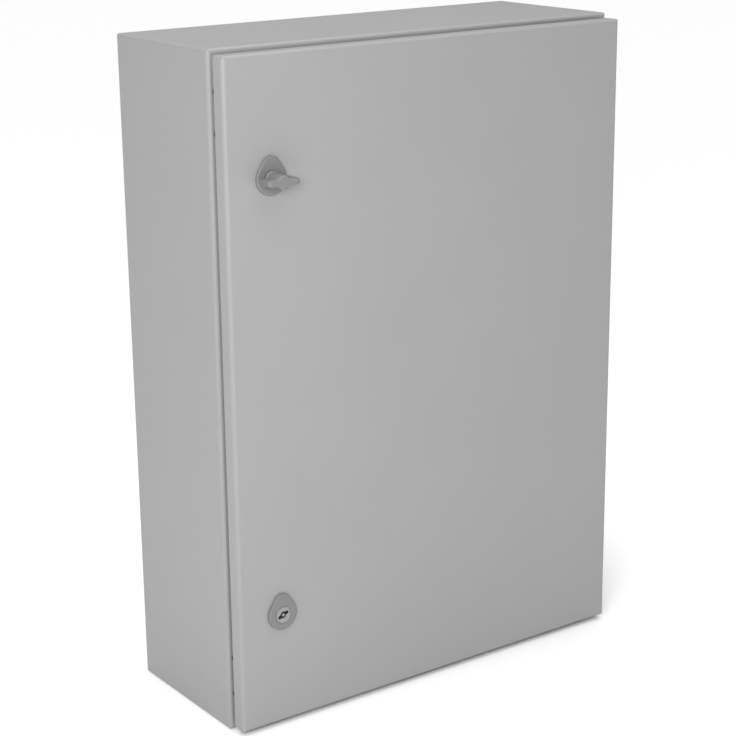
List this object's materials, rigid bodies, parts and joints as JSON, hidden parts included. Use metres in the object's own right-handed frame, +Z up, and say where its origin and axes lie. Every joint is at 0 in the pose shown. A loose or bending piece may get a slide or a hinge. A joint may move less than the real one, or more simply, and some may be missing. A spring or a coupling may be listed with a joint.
{
  "type": "steel wall enclosure",
  "caption": "Wall-mounted folded steel enclosure with a hinged flat door, quarter-turn locks, an inner mounting plate and a bottom gland plate.",
  "frame": {"origin": "centre of the four wall holes, on the outer rear face", "axes": "+Z up along the enclosure's height, +Y out of the rear face towards the wall, so the door faces -Y; +X to the hinge side"},
  "size_m": [0.5, 0.2254, 0.7],
  "materials": {
    "grey_paint": "fine-textured polyester powder coat, satin, light grey",
    "galvanised_sheet": "pre-galvanised sheet with a faint spangle",
    "zinc_plating": "bright zinc plating",
    "die_cast_zinc": "satin zinc die casting, grey",
    "grey_plastic": "glass-filled polyamide, matt mid grey",
    "seal_foam": "foamed-in-place polyurethane seal, dark",
    "black_plastic": "black polyethylene plug"
  },
  "bodies": {
    "cabinet": {"cabinet_body": "grey_paint", "mounting_plate_studs": "zinc_plating", "mounting_plate_spacers": "zinc_plating", "mounting_plate": "galvanised_sheet", "mounting_plate_nuts": "zinc_plating", "gland_plate_studs": "zinc_plating", "gland_plate_seal": "seal_foam", "gland_plate": "grey_paint", "gland_plate_nuts": "zinc_plating", "hinge_hole_plugs": "black_plastic", "body_earth_stud": "zinc_plating", "body_earth_nut": "zinc_plating", "upper_hinge_base": "die_cast_zinc", "lower_hinge_base": "die_cast_zinc", "hinge_base_screws": "zinc_plating"},
    "door": {"door_panel": "grey_paint", "door_seal": "seal_foam", "left_door_rail": "galvanised_sheet", "right_door_rail": "galvanised_sheet", "door_earth_stud": "zinc_plating", "door_earth_nut": "zinc_plating", "upper_hinge_leaf": "die_cast_zinc", "lower_hinge_leaf": "die_cast_zinc", "upper_hinge_pin": "zinc_plating", "lower_hinge_pin": "zinc_plating", "upper_lock_housing": "grey_plastic", "upper_lock_seal": "seal_foam", "upper_lock_nut": "zinc_plating", "lower_lock_housing": "grey_plastic", "lower_lock_seal": "seal_foam", "lower_lock_nut": "zinc_plating"},
    "upper_latch": {"upper_spindle": "die_cast_zinc", "wing_knob": "grey_plastic", "upper_cam": "zinc_plating", "upper_cam_screw": "zinc_plating"},
    "lower_latch": {"lower_key_core": "die_cast_zinc", "lower_cam": "zinc_plating", "lower_cam_screw": "zinc_plating"}
  },
  "joints": [
    {"name": "door_hinge", "type": "hinge", "parent": "cabinet", "child": "door", "pos_m": [0.241, -0.188, 0], "axis": [0, 0, 1], "range_deg": [0, 110]},
    {"name": "upper_lock_turn", "type": "hinge", "parent": "door", "child": "upper_latch", "pos_m": [-0.198, -0.19, 0.225], "axis": [0, 1, 0], "range_deg": [0, 90]},
    {"name": "lower_lock_turn", "type": "hinge", "parent": "door", "child": "lower_latch", "pos_m": [-0.198, -0.19, -0.225], "axis": [0, 1, 0], "range_deg": [0, 90]}
  ]
}
